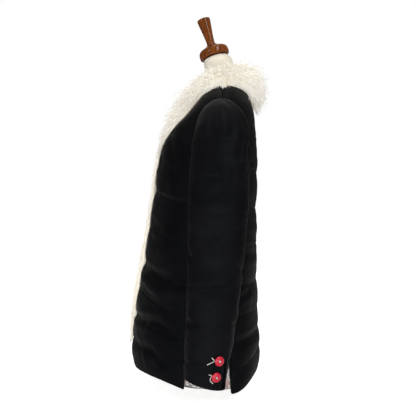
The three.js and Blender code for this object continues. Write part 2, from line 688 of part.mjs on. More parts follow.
function button(place) {
  const { radius, shank, eye, seat, under, rim, brow, dome, eyeDepth } = BUTTON;
  const profile = [
    [0, seat],
    [shank, seat],
    [shank, under],
    [radius * 0.9, under],
    [radius, rim],
    [radius * 0.84, brow],
    [eye, dome],
    [eye * 0.85, dome - eyeDepth],
    [0, dome - eyeDepth],
  ];
  return lathe(profile, SIDES.button).applyMatrix4(place.matrix);
}

function knot(place) {
  const { radius, straight, height } = KNOT;
  const seat = BUTTON.dome - BUTTON.eyeDepth + SEAM;
  const profile = [
    [0, seat],
    [radius, seat],
    [radius, seat + straight],
    [radius * 0.6, seat + height],
    [0, seat + height],
  ];
  return lathe(profile, SIDES.knot).applyMatrix4(place.matrix);
}

// The loop's cord lies on the cuff along its route.
function loop(place, route) {
  const away = LOOP_RADIUS + NEAR;
  const line = new THREE.CatmullRomCurve3(route.map(([forward, up]) => {
    const share = place.share + up / SLEEVE_LENGTH;
    const { wide } = sleeveAt(share);
    return sleeveSkin(share, place.angle - forward / wide).addScaledVector(place.out, away);
  }));
  const rim = around(SIDES.cord, (turn) => (
    new THREE.Vector2(Math.cos(turn), Math.sin(turn)).multiplyScalar(LOOP_RADIUS)
  ));
  return new THREE.ExtrudeGeometry(new THREE.Shape(rim), { steps: LOOP_STEPS, extrudePath: line });
}

// ---- The whole ----

const coat = new THREE.Group();

function add(name, geometry, finish) {
  const mesh = new THREE.Mesh(geometry, new THREE.MeshStandardMaterial(finish));
  mesh.name = name;
  coat.add(mesh);
  return mesh;
}

// A piece for the wearer's left side and its mirror image for the right.
function addPair(name, geometry, finish, tail = "") {
  add(`${name}_left${tail}`, geometry, finish);
  add(`${name}_right${tail}`, geometry, finish).scale.set(-1, 1, 1);
}

// Places of the roll: where the collar gives way to the front edge's fur, and the gap at the end of a piece.
const COLLAR_ENDS = COLLAR.length;
const END_GAP = 0.008;

add("back", backPanel(), SATIN);
addPair("front", frontPanel(), SATIN);
addPair("sleeve", sleeve(), SATIN);
addPair("lining", lining(), PRINT);
addPair("cuff_lining", cuffLining(), PRINT);
addPair("collar", furPiece(END_GAP, COLLAR_ENDS, COLLAR_STEPS), FUR);
addPair("edge_fur", furPiece(COLLAR_ENDS + END_GAP, FUR_ROWS.length - 1, EDGE_STEPS, FUR_END), FUR);
for (const [level, spec] of Object.entries(BUTTONS)) {
  const place = buttonPlace(spec);
  addPair("button", button(place), RED, `_${level}`);
  addPair("knot", knot(place), CORD, `_${level}`);
  addPair("loop", loop(place, spec.loop), CORD, `_${level}`);
}
add("form_torso", torso(), JERSEY);
add("form_cap", onNeck(CAP_PROFILE, SEAM), WOOD);
add("form_finial", onNeck(FINIAL_PROFILE, CAP_PROFILE.at(-1)[1] + 2 * SEAM), WOOD);
add("form_pole", pole(), STEEL);
add("form_base", base(), STEEL);

// The origin is the middle of the whole object's box, on the floor.
const box = new THREE.Box3().setFromObject(coat);
coat.position.set(0, -(box.min.y + box.max.y) / 2, -box.min.z);

export default coat;
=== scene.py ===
"""A women's black satin down coat with a long-haired fur collar and front edges, on a limbless display form."""

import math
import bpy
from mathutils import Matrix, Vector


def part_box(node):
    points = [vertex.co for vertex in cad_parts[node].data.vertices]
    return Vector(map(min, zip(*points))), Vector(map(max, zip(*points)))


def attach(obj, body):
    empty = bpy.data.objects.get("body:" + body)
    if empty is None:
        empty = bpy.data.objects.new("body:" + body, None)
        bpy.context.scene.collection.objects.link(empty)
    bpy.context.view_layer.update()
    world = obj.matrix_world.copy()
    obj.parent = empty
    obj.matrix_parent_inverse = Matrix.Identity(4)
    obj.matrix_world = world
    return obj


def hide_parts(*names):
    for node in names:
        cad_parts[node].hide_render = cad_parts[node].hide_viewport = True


bl_info = {
    "name": "Down Coat on Display Form",
    "version": (1, 0, 0),
    "blender": (4, 5, 0),
    "location": "View3D > Sidebar > Down Coat",
    "description": "Dresses the packed coat and form with cloth, fur, print, lacquer and a studio stage",
    "category": "Object",
}

import bmesh
import bpy
import numpy as np
from bpy.props import FloatProperty, FloatVectorProperty, IntProperty, PointerProperty
from bpy.types import Operator, Panel, PropertyGroup
from mathutils import Vector, noise
from mathutils.bvhtree import BVHTree

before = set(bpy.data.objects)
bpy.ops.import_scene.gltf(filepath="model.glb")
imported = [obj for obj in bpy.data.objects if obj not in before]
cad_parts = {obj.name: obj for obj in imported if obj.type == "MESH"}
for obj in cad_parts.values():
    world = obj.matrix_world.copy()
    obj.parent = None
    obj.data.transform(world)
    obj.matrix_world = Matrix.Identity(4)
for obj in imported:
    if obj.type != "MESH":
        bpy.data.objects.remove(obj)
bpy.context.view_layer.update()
MM = 0.001
TINY = 1e-9
# The wearer faces -Y, with their left side at +X. The pole stands a little in front of the body's middle.
HEM = 35 * MM
POLE_BACK = -4 * MM
MIDDLE_Y = sum(corner.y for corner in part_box("form_base")) / 2 - POLE_BACK
SIDES = ("left", "right")

# Tables are in millimetres, but for turns, which are in degrees, and shares.
# The body's outside at a height above the hem: half its width and how far back its sides lie.
BODY_RINGS = [
    {"height": 0, "half_width": 235, "back": 0},
    {"height": 200, "half_width": 219, "back": 1},
    {"height": 400, "half_width": 200, "back": 8},
    {"height": 500, "half_width": 195, "back": 16},
    {"height": 640, "half_width": 197, "back": 31},
    {"height": 690, "half_width": 165, "back": 35},
    {"height": 735, "half_width": 82, "back": 38},
]
# The stitched lines' heights at the side, the heights between which they fade, and how they rise to the front.
# A line's height sets its rise and the other way round, so the two are worked out in a few rounds.
QUILTING = (0, 55, 108, 168, 234, 324, 415, 505, 600)
QUILTING_FADES = (600, 650)
FRONT_LIFT = {"most": 45, "grows": 180, "fades": (430, 600)}
LIFT_ROUNDS = 6
# How high the hem hangs, from the middle of the back (-1) past the side (0) to the middle of the front (1).
HEM_LIFT = [
    {"ahead": -1, "lift": 18},
    {"ahead": -0.86, "lift": 18},
    {"ahead": -0.5, "lift": -4},
    {"ahead": 0, "lift": 0},
    {"ahead": 0.15, "lift": 1},
    {"ahead": 0.58, "lift": 21},
    {"ahead": 1, "lift": 21},
]

# The sleeve's middle at a height above the hem: how far out and back it is. Its stitched lines start above the
# cuff.
SLEEVE_RINGS = [
    {"height": 36, "out": 283, "back": -8},
    {"height": 100, "out": 282, "back": -2},
    {"height": 200, "out": 275, "back": 9},
    {"height": 300, "out": 267, "back": 16},
    {"height": 400, "out": 262, "back": 22},
    {"height": 480, "out": 256, "back": 25},
    {"height": 548, "out": 236, "back": 28},
    {"height": 588, "out": 196, "back": 31},
]
SLEEVE_QUILTING = {"first": 56, "pitch": 78, "last": 6, "fades": (500, 560)}
# Over these heights above the hem the cloth turns in over the shoulder, so its outside faces up.
SHOULDER = {"over": (520, 640), "rise": 60}
# How far round from inside to outside a wall starts and ends taking creases, as the share that faces out.
OUTSIDE = (0.25, 0.6)
# How far creases may move the cloth, in and out, and how often the panels are subdivided for them.
MOST_MOVED = (-9, 3)
CLOTH_LEVELS = 3

# The stitched groove, and the puckers beside it: how high and long they are, and how far out they reach. Row
# and slant set how their pattern changes from line to line and away from a line.
GROOVE = {"depth": 1.2, "width": 3.5}
PUCKERS = [
    {"height": 1.2, "length": 12, "reach": 12, "row": 5.3, "slant": 0, "seed": 3.1},
    {"height": 0.9, "length": 21, "reach": 30, "row": 3.1, "slant": 30, "seed": 8.2},
]
# Loose wrinkles over the down: their share of the full height, length and width.
WRINKLES = [
    {"share": 1.0, "length": 75, "width": 26, "seed": 1.3},
    {"share": 0.45, "length": 30, "width": 13, "seed": 5.7},
]

# A fold pushes up a bank on each side: its share of the depth, and how many widths out it lies. Variety is how
# much folds differ in width and depth, and ends is the power that blunts where they run out.
FOLD = {"bank": 0.3, "bank_at": 1.9, "variety": 0.3, "ends": 0.6}
# Folds in the body. Turns are degrees round the coat from the middle of the front, heights are above the floor,
# and a fold that is raised has a depth below 0.
BODY_FOLDS = [
    {"turns": (7, 60, 76), "heights": (494, 463, 459), "depth": 4.5, "width": 9},
    {"turns": (8, 58), "heights": (400, 380), "depth": -3.0, "width": 8},
    {"turns": (6, 68, 80), "heights": (309, 274, 269), "depth": 7.5, "width": 9},
    {"turns": (9, 40, 62), "heights": (286, 262, 243), "depth": -2.5, "width": 12},
    {"turns": (5, 55, 72), "heights": (173, 181, 152), "depth": 6.0, "width": 10},
    {"turns": (5, 50, 66), "heights": (111, 119, 85), "depth": 4.0, "width": 9},
    {"turns": (28, 44, 50), "heights": (150, 104, 66), "depth": -2.5, "width": 10},
    {"turns": (20, 33), "heights": (610, 545), "depth": 3.0, "width": 12},
    {"turns": (38, 52, 60), "heights": (640, 580, 520), "depth": 4.0, "width": 13},
    {"turns": (96, 118, 128), "heights": (590, 560, 556), "depth": 4.0, "width": 11},
    {"turns": (98, 125), "heights": (470, 452), "depth": 3.0, "width": 10},
    {"turns": (100, 130, 150), "heights": (352, 340, 346), "depth": 4.0, "width": 10},
    {"turns": (102, 124), "heights": (236, 252), "depth": 3.5, "width": 10},
    {"turns": (108, 140), "heights": (150, 139), "depth": 4.0, "width": 9},
    {"turns": (152, 180), "heights": (600, 588), "depth": 3.0, "width": 14},
    {"turns": (150, 172), "heights": (272, 281), "depth": 3.0, "width": 10},
]
# Folds in a sleeve. Turns are degrees round it from its outside, and run backwards.
SLEEVE_FOLDS = [
    {"turns": (24, 18, 12), "heights": (700, 640, 560), "depth": 3.5, "width": 9},
    {"turns": (-22, -14), "heights": (690, 585), "depth": 3.0, "width": 9},
    {"turns": (2, 4), "heights": (700, 600), "depth": -3.0, "width": 8},
    {"turns": (62, 58, 50), "heights": (700, 620, 540), "depth": -4.0, "width": 9},
    {"turns": (84, 80, 72), "heights": (690, 610, 520), "depth": 5.0, "width": 8},
    {"turns": (-80, -30, 10), "heights": (482, 470, 478), "depth": 3.0, "width": 9},
    {"turns": (-95, -40, 20, 60), "heights": (402, 388, 392, 404), "depth": 3.5, "width": 8},
    {"turns": (-100, -60), "heights": (362, 340), "depth": 4.0, "width": 8},
    {"turns": (-70, -10, 45), "heights": (283, 276, 281), "depth": 4.0, "width": 7},
    {"turns": (-85, -35), "heights": (212, 204), "depth": 3.5, "width": 7},
    {"turns": (60, 100, 140), "heights": (330, 306, 300), "depth": 4.0, "width": 9},
    {"turns": (70, 120), "heights": (246, 228), "depth": 3.5, "width": 8},
    {"turns": (150, 190, 230), "heights": (420, 404, 410), "depth": 3.5, "width": 9},
]


# ---- Shader and geometry node expressions ----


class Wire:
    """A socket's value: an expression on wires adds the Math nodes that work it out."""

    def __init__(self, graph, socket):
        self.graph, self.socket = graph, socket

    def maths(self, operation, *values):
        return self.graph.node("ShaderNodeMath", {"operation": operation}, dict(enumerate(values)))

    def __add__(self, other):
        return self.maths("ADD", self, other)

    def __sub__(self, other):
        return self.maths("SUBTRACT", self, other)

    def __rsub__(self, other):
        return self.maths("SUBTRACT", other, self)

    def __mul__(self, other):
        return self.maths("MULTIPLY", self, other)

    def __truediv__(self, other):
        return self.maths("DIVIDE", self, other)

    def __rtruediv__(self, other):
        return self.maths("DIVIDE", other, self)

    def __pow__(self, other):
        return self.maths("POWER", self, other)

    __radd__, __rmul__ = __add__, __mul__

    def below(self, limit):
        return self.maths("LESS_THAN", self, limit)

    def size(self):
        return self.maths("ABSOLUTE", self)

    def loop(self):
        return self.maths("FRACT", self)

    def ramp(self, low, high, to_low=0.0, to_high=1.0):
        values = {"Value": self, "From Min": low, "From Max": high, "To Min": to_low, "To Max": to_high}
        return self.graph.node("ShaderNodeMapRange", {"interpolation_type": "SMOOTHSTEP"}, values)


class Graph:
    """A node tree that is built by calls."""

    def __init__(self, tree):
        self.tree = tree

    def node(self, kind, options=None, values=None, out=0):
        """Adds a node, sets its options first, then its sockets by name or number, and returns one output."""
        made = self.tree.nodes.new(kind)
        for name, value in (options or {}).items():
            setattr(made, name, value)
        for name, value in (values or {}).items():
            self.feed(made.inputs[name], value)
        return Wire(self, made.outputs[out])

    def feed(self, socket, value):
        if isinstance(value, Wire):
            self.tree.links.new(value.socket, socket)
        else:
            socket.default_value = value


class Finish(Graph):
    """A material: constants go on the shader's own sockets, and what varies is fed to them."""

    def __init__(self, name, **constants):
        self.material = bpy.data.materials.new(name)
        self.material.use_nodes = True
        super().__init__(self.material.node_tree)
        self.shader = self.tree.nodes["Principled BSDF"]
        for name, value in constants.items():
            self.shader.inputs[name.replace("_", " ").title().replace("Ior", "IOR")].default_value = value

    def place(self, scale=(1, 1, 1), turn=(0, 0, 0), middle=(0, 0, 0)):
        """The object's own coordinates in metres, about a middle, turned and scaled."""
        here = self.node("ShaderNodeTexCoord", out="Object")
        here = self.node("ShaderNodeVectorMath", {"operation": "SUBTRACT"}, {0: here, 1: middle})
        return self.node("ShaderNodeMapping", None, {"Vector": here, "Rotation": turn, "Scale": scale})

    def attribute(self, name):
        return self.node("ShaderNodeAttribute", {"attribute_name": name}, out="Fac")

    def cloudy(self, at, scale, detail=2.0, roughness=0.5, distortion=0.0):
        return self.node("ShaderNodeTexNoise", None, {
            "Vector": at, "Scale": scale, "Detail": detail, "Roughness": roughness, "Distortion": distortion,
        })

    def waves(self, at, scale, direction, distortion=0.0):
        way = {"wave_type": "BANDS", "bands_direction": direction}
        return self.node("ShaderNodeTexWave", way, {"Vector": at, "Scale": scale, "Distortion": distortion})

    def blend(self, share, low, high):
        values = {0: share, 6: opaque(low), 7: opaque(high)}
        return self.node("ShaderNodeMix", {"data_type": "RGBA", "blend_type": "MIX"}, values, out=2)

    def raise_by(self, height, distance, strength=1.0, under=None):
        """Bumps the surface by a height of 0 to 1, which stands for a distance in metres."""
        values = {"Height": height, "Distance": distance, "Strength": strength}
        if under:
            values["Normal"] = under
        return self.node("ShaderNodeBump", None, values)

    def done(self, **links):
        for name, value in links.items():
            self.feed(self.shader.inputs[name.replace("_", " ").title()], value)
        return self.material


def opaque(colour):
    """The colour with its fourth part, unless a wire brings it."""
    return colour if isinstance(colour, Wire) or len(colour) == 4 else (*colour, 1.0)


def toned(colour, times):
    """The colour made darker or lighter."""
    return tuple(times * part for part in colour)


# ---- Settings ----


class CoatSettings(PropertyGroup):
    shell_colour: FloatVectorProperty(
        name="Shell", description="Colour of the satin", subtype="COLOR", default=(0.0019, 0.0019, 0.0023)
    )
    shell_roughness: FloatProperty(
        name="Shell roughness", description="How far the satin spreads its shine", default=0.54, min=0, max=1
    )
    crease_share: FloatProperty(
        name="Creases", description="Share of the folds' full depth", default=0.85, min=0, max=2
    )
    down_wrinkles: FloatProperty(
        name="Down wrinkles", description="Height of the loose wrinkles", default=1.5 * MM, unit="LENGTH"
    )
    fur_colour: FloatVectorProperty(
        name="Fur", description="Colour of the fur's tips", subtype="COLOR", default=(0.95, 0.92, 0.85)
    )
    fur_root_colour: FloatVectorProperty(
        name="Fur roots", description="Colour of the fur's roots", subtype="COLOR", default=(0.94, 0.88, 0.76)
    )
    collar_hair: FloatProperty(
        name="Collar hair", description="Length of the collar's locks", default=43 * MM, unit="LENGTH"
    )
    collar_locks: IntProperty(name="Collar locks", description="Locks in each half of the collar", default=5900)
    edge_hair: FloatProperty(
        name="Edge hair", description="Length of the locks on the front edges", default=11 * MM, unit="LENGTH"
    )
    edge_locks: IntProperty(name="Edge locks", description="Locks in each front edge", default=2000)
    button_colour: FloatVectorProperty(
        name="Buttons", description="Colour of the buttons", subtype="COLOR", default=(0.42, 0.003, 0.02)
    )
    wood_colour: FloatVectorProperty(
        name="Wood", description="Colour of the varnished wood", subtype="COLOR", default=(0.15, 0.04, 0.006)
    )


class StageSettings(PropertyGroup):
    distance: FloatProperty(
        name="Camera distance", description="From the coat's middle plane", default=1.386, unit="LENGTH"
    )
    eye_height: FloatProperty(name="Camera height", description="Above the floor", default=0.449, unit="LENGTH")
    lens: FloatProperty(name="Lens", description="Focal length in millimetres", default=45.0)
    light: FloatProperty(name="Light", description="Strength of the soft boxes", default=1.0, min=0)
    ambient: FloatProperty(name="Ambient", description="Strength of the room's light", default=0.3, min=0)


# ---- Pieces ----


def settings():
    return bpy.context.scene.down_coat


def add_piece(name, mesh, material, replaced):
    """A finished piece, which rides on the part's one body and stands for the nodes that it replaces."""
    piece = bpy.data.objects.new(name, mesh)
    bpy.context.scene.collection.objects.link(piece)
    mesh.materials.clear()
    mesh.materials.append(material)
    mesh.shade_smooth()
    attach(piece, "root")
    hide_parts(*replaced)
    return piece


def modified(mesh, kind, **options):
    """The mesh with a modifier applied, given as its type and options."""
    carrier = bpy.data.objects.new("carrier", mesh)
    bpy.context.scene.collection.objects.link(carrier)
    modifier = carrier.modifiers.new(kind.lower(), kind)
    for name, value in options.items():
        setattr(modifier, name, value)
    bpy.context.view_layer.update()
    made = bpy.data.meshes.new_from_object(carrier.evaluated_get(bpy.context.evaluated_depsgraph_get()))
    bpy.data.objects.remove(carrier)
    return made


def node_form(*nodes):
    """A bmesh of CAD nodes with their loose triangles joined up, and into quads where they are flat."""
    form = bmesh.new()
    for node in nodes:
        form.from_mesh(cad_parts[node].data)
    bmesh.ops.remove_doubles(form, verts=form.verts, dist=0.02 * MM)
    bmesh.ops.join_triangles(
        form,
        faces=form.faces,
        angle_face_threshold=math.radians(40),
        angle_shape_threshold=math.radians(60),
    )
    return form


def finer(form, levels, crisp=60, crease=1.0):
    """The form subdivided, with the edges that bend by more than crisp degrees kept by their crease."""
    layer = form.edges.layers.float.get("crease_edge") or form.edges.layers.float.new("crease_edge")
    for edge in form.edges:
        if len(edge.link_faces) == 2 and edge.calc_face_angle(0) > math.radians(crisp):
            edge[layer] = crease
    mesh = bpy.data.meshes.new("finer")
    form.to_mesh(mesh)
    form.free()
    return modified(mesh, "SUBSURF", levels=levels, render_levels=levels)


def numbers(mesh, what="co"):
    """Every vertex's place, or normal, as rows of three."""
    values = np.empty(len(mesh.vertices) * 3, np.float32)
    if what == "co":
        mesh.vertices.foreach_get("co", values)
    else:
        mesh.vertex_normals.foreach_get("vector", values)
    return values.reshape(-1, 3).astype(float)


def keep_numbers(mesh, places):
    mesh.vertices.foreach_set("co", places.astype(np.float32).ravel())
    mesh.update()


def store(mesh, name, values):
    """Keeps a number, or a vector, for each vertex."""
    vector = values.ndim == 2
    made = mesh.attributes.new(name, "FLOAT_VECTOR" if vector else "FLOAT", "POINT")
    made.data.foreach_set("vector" if vector else "value", values.astype(np.float32).ravel())


def smooth(low, high, values):
    """From 0 where values are low to 1 where they are high, with soft ends."""
    share = np.clip((values - low) / (high - low), 0, 1)
    return share * share * (3 - 2 * share)


def metres(pair):
    """A pair of millimetres, in metres."""
    return [value * MM for value in pair]


def column(rows, name):
    """A table's column of millimetres, in metres."""
    return np.array([row[name] for row in rows], float) * MM


def ripple(across, up, seed):
    """Smooth noise between about -1 and 1 at each pair of coordinates."""
    return np.array([noise.noise(Vector((a + seed, u + 1.7 * seed, seed))) for a, u in zip(across, up)])


# ---- The coat's own coordinates ----


def body_map(places):
    """Each place on the body as degrees round it, distance round it, quilting height and its ring's radius."""
    heights = column(BODY_RINGS, "height")
    z = places[:, 2] - HEM
    aside = np.abs(places[:, 0])
    width = np.interp(z, heights, column(BODY_RINGS, "half_width"))
    ahead = np.interp(z, heights, column(BODY_RINGS, "back")) + MIDDLE_Y - places[:, 1]
    share = np.sign(ahead) * np.sqrt(np.clip(1 - (aside / width) ** 2, 0, 1))
    hem = np.interp(share, [row["ahead"] for row in HEM_LIFT], column(HEM_LIFT, "lift"))
    level = z.copy()
    for _ in range(LIFT_ROUNDS):
        above = smooth(0, FRONT_LIFT["grows"] * MM, level)
        bust = FRONT_LIFT["most"] * MM * above * (1 - smooth(*metres(FRONT_LIFT["fades"]), level))
        level = z - hem * (1 - above) - bust * np.clip(share, 0, 1) ** 2
    turn = np.degrees(np.arctan2(aside, ahead))
    radius = np.hypot(aside, ahead)
    return turn, np.radians(turn) * radius, level, radius


def sleeve_map(places):
    """The same for a sleeve: degrees from its outside backwards, and height along it from the cuff."""
    heights = column(SLEEVE_RINGS, "height")
    out, set_back = column(SLEEVE_RINGS, "out"), column(SLEEVE_RINGS, "back")
    steps = np.sqrt(np.diff(heights) ** 2 + np.diff(out) ** 2 + np.diff(set_back) ** 2)
    z = places[:, 2] - HEM
    outward = np.abs(places[:, 0]) - np.interp(z, heights, out)
    back = places[:, 1] - MIDDLE_Y - np.interp(z, heights, set_back)
    turn = np.degrees(np.arctan2(back, outward))
    radius = np.hypot(back, outward)
    level = np.interp(z, heights, np.concatenate([[0], np.cumsum(steps)]))
    return turn, np.radians(turn) * radius, level, radius


def folds_at(folds, turn, height, radius, vary):
    """How far the folds move the cloth at each place: a soft trough or ridge along each one's line."""
    moved = np.zeros(len(turn))
    for number, fold in enumerate(folds):
        turns, heights = fold["turns"], np.array(fold["heights"]) * MM
        nearest, whole = np.full(len(turn), np.inf), np.zeros(len(turn))
        for i in range(len(turns) - 1):
            start = np.stack([np.radians(turn - turns[i]) * radius, height - heights[i]], axis=1)
            rise = np.full(len(turn), heights[i + 1] - heights[i])
            run = np.stack([np.radians(turns[i + 1] - turns[i]) * radius, rise], axis=1)
            along = np.clip((start * run).sum(1) / np.maximum((run * run).sum(1), TINY), 0, 1)
            away = np.hypot(*(start - run * along[:, None]).T)
            whole = np.where(away < nearest, (i + along) / (len(turns) - 1), whole)
            nearest = np.minimum(away, nearest)
        width = fold["width"] * MM * (1 + FOLD["variety"] * np.sin(vary + 2.3 * number + 4 * whole))
        bank = FOLD["bank"] * np.exp(-((nearest / width - FOLD["bank_at"]) ** 2))
        trough = np.exp(-((nearest / width) ** 2)) - bank
        depth = fold["depth"] * MM * (1 + FOLD["variety"] * math.sin(1.9 * vary + 1.1 * number))
        moved -= depth * np.sin(np.pi * np.clip(whole, 0, 1)) ** FOLD["ends"] * trough
    return moved


def quilting_at(places, level, sleeve):
    """The stitched line nearest to each place: its number, how far off it is, and how far it shows there."""
    if sleeve:
        first, pitch = SLEEVE_QUILTING["first"] * MM, SLEEVE_QUILTING["pitch"] * MM
        number = np.clip(np.round((level - first) / pitch), 0, SLEEVE_QUILTING["last"])
        faded = smooth(*metres(SLEEVE_QUILTING["fades"]), places[:, 2] - HEM)
        return number, level - (first + number * pitch), 1 - faded
    lines = np.array(QUILTING) * MM
    number = np.abs(level[:, None] - lines[None, 1:]).argmin(1) + 1
    return number, level - lines[number], 1 - smooth(*metres(QUILTING_FADES), level)


def outside_at(places, normals, sleeve):
    """How far each place is on the outside of its wall: 1 there, and 0 on the inside."""
    rings = SLEEVE_RINGS if sleeve else BODY_RINGS
    heights, above_hem = column(rings, "height"), places[:, 2] - HEM
    out = np.interp(above_hem, heights, column(rings, "out")) * np.sign(places[:, 0]) if sleeve else 0
    middle_y = np.interp(above_hem, heights, column(rings, "back")) + MIDDLE_Y
    rise = SHOULDER["rise"] * MM * smooth(*metres(SHOULDER["over"]), above_hem)
    away = np.stack([places[:, 0] - out, places[:, 1] - middle_y, rise], axis=1)
    facing = (normals * away).sum(1) / np.maximum(np.linalg.norm(away, axis=1), TINY)
    return smooth(*OUTSIDE, facing)


def cloth_over_down(mesh, sleeve, vary):
    """Gives a panel's outside its stitched lines, the puckers beside them, loose wrinkles and folds."""
    places, normals = numbers(mesh), numbers(mesh, "normal")
    turn, round_it, level, radius = (sleeve_map if sleeve else body_map)(places)
    number, line, live = quilting_at(places, level, sleeve)
    stitched = -GROOVE["depth"] * MM * np.exp(-((line / (GROOVE["width"] * MM)) ** 2))
    for row in PUCKERS:
        pattern = ripple(
            round_it / (row["length"] * MM), number * row["row"] + line * row["slant"], row["seed"] + vary
        )
        stitched += row["height"] * MM * pattern * np.exp(-np.abs(line) / (row["reach"] * MM))
    loose = settings().down_wrinkles * sum(
        row["share"] * ripple(round_it / (row["length"] * MM), level / (row["width"] * MM), row["seed"] + vary)
        for row in WRINKLES
    )
    folds = folds_at(SLEEVE_FOLDS if sleeve else BODY_FOLDS, turn, places[:, 2], radius, vary)
    move = stitched * live + loose * (0.5 + 0.5 * live) + settings().crease_share * folds
    move = np.clip(move * outside_at(places, normals, sleeve), *metres(MOST_MOVED))
    keep_numbers(mesh, places + normals * move[:, None])
    store(mesh, "line", line)
    store(mesh, "round_it", round_it)


def panel(name, node, sleeve, vary):
    """One of the coat's satin panels. Vary sets its own wrinkles."""
    mesh = finer(node_form(node), CLOTH_LEVELS)
    cloth_over_down(mesh, sleeve, vary)
    return add_piece(name, mesh, satin(), [node])


# ---- Fur ----

# How the hair grows on each piece.
#   thickness: a lock's, as a share of its length; seed: what its random choices start from
#   tufts: into how many the tips draw together; draw: how far; wave, wave_scale: how far and tightly they wave
#   wander: how much neighbours differ in lean; stand, fall, crest: the lean out of the skin, down, off the top
#   drop: how far the rim's hair falls; skin: how deep the skin lies in the form
#   low_end: the heights over which the low end starts; there hair stands less and is shorter by the last shares
COLLAR_FUR = {
    "thickness": 0.028, "seed": 31,
    "tufts": 620, "draw": 0.55, "wave": 9, "wave_scale": 24.0,
    "wander": 0.6, "stand": 0.42, "fall": 0.85, "crest": 0.6,
    "drop": 0.8, "skin": 20,
    "low_end": (620, 720), "flat_end": 0.5, "short_end": 0.4,
}
EDGE_FUR = {
    "thickness": 0.055, "seed": 211,
    "tufts": 300, "draw": 0.6, "wave": 5, "wave_scale": 70.0,
    "wander": 1.5, "stand": 0.55, "fall": 0.7, "crest": 0.0,
    "drop": 0.0, "skin": 4,
    "low_end": (100, 160), "flat_end": 0.3, "short_end": -0.1,
}
# What is added to a piece's seed on the right side, and for each random choice.
SEED_STEP = 50
SALTS = {"roots": 0, "kind": 1, "length": 2, "shade": 3, "spin": 5, "tufts": 7, "stray": 11}
# A lock's length is the shortest share, plus a random part, plus a rare longer part.
LOCK_LENGTHS = {"shortest": 0.72, "random": 0.3, "rare": 0.25, "rarity": 10}
# How far each lock strays by itself, how tightly the lean wanders, and the powers by which tips draw and wave.
STRAY, WANDER_SCALE = 0.15, 32.0
TIP_DRAW, TIP_WAVE = 1.3, 1.2
# The inward and the upward slopes at which the neck's side and the crest start and are whole.
NECK_SLOPE, CREST_SLOPE = (0.1, 0.8), (0.2, 0.9)
# Distances from the nearest cloth over which these start or end: the rim's hair, hair that lies over cloth,
# bare skin, and skin that is drawn in.
RIM_REACH = (8, 28)
OVER_CLOTH = (15, 35)
BARE_SKIN = (0.8, 2.5)
DRAWN_SKIN = (0.8, 6)
# The skin is drawn in by no more than this share of the form's thickness, measured from just under its surface.
MOST_DRAWN = 0.42
JUST_UNDER = 0.5 * MM
SKIN_SHADE = 0.4
# The least lean out of the skin, and off the cloth.
LEAST_STAND, LEAST_OFF_CLOTH = 0.25, 0.12
# How much further down hair leans at the low end and on the underside.
MORE_DOWN = {"low_end": 0.35, "underside": 0.5}
# How much shorter hair is on the underside, towards the neck and at the rim, and how much less it draws
# together at the rim.
SHORTER = {"underside": 0.4, "neck": 0.65, "rim": 0.15}
RIM_LOOSE = 0.85

LOCK_SEGMENTS = 4
LOCK_TAPER = {"most": 0.75, "power": 1.5}
# Locks: how far each bends to a side and sways, and how it curls, as shares of its length.
LOCKS = [
    {"bend": 0.10, "sway": 0.06, "waves": 0.7, "phase": 0.0},
    {"bend": -0.08, "sway": 0.05, "waves": 0.9, "phase": 1.4},
    {"bend": 0.18, "sway": 0.04, "waves": 0.6, "phase": 2.6},
    {"bend": 0.02, "sway": 0.08, "waves": 1.1, "phase": 4.0},
]


def lock_mesh(lock, thickness):
    """One tapering wavy lock of three sides, a metre long, drawn out of a small ring."""
    form = bmesh.new()
    ring = bmesh.ops.create_circle(form, cap_ends=False, segments=3, radius=thickness)["verts"]
    tip = form.verts.layers.float.new("tip")
    edges = list(form.edges)
    at = Vector((0, 0, 0))
    for step in range(1, LOCK_SEGMENTS + 1):
        share = step / LOCK_SEGMENTS
        swing = lock["waves"] * 2 * math.pi * share + lock["phase"]
        target = Vector((
            lock["bend"] * share * share + lock["sway"] * share * math.sin(swing),
            lock["sway"] * share * math.cos(swing),
            share,
        ))
        made = bmesh.ops.extrude_edge_only(form, edges=edges)["geom"]
        ring = [g for g in made if isinstance(g, bmesh.types.BMVert)]
        edges = [g for g in made if isinstance(g, bmesh.types.BMEdge) and all(v in ring for v in g.verts)]
        bmesh.ops.translate(form, verts=ring, vec=target - at)
        middle = sum((v.co for v in ring), Vector()) / len(ring)
        taper = 1 - LOCK_TAPER["most"] * share ** LOCK_TAPER["power"]
        for vert in ring:
            vert.co = middle + (vert.co - middle).normalized() * thickness * taper
            vert[tip] = share
        at = target
    bmesh.ops.pointmerge(form, verts=ring, merge_co=sum((v.co for v in ring), Vector()) / len(ring))
    bmesh.ops.recalc_face_normals(form, faces=form.faces)
    mesh = bpy.data.meshes.new("lock")
    form.to_mesh(mesh)
    form.free()
    mesh.shade_smooth()
    return mesh


def lock_set(name, thickness):
    """The locks, hidden in a collection of their own for scattering."""
    locks = bpy.data.collections.new(name)
    for number, lock in enumerate(LOCKS):
        locks.objects.link(bpy.data.objects.new(f"{name}_{number}", lock_mesh(lock, thickness)))
    return locks


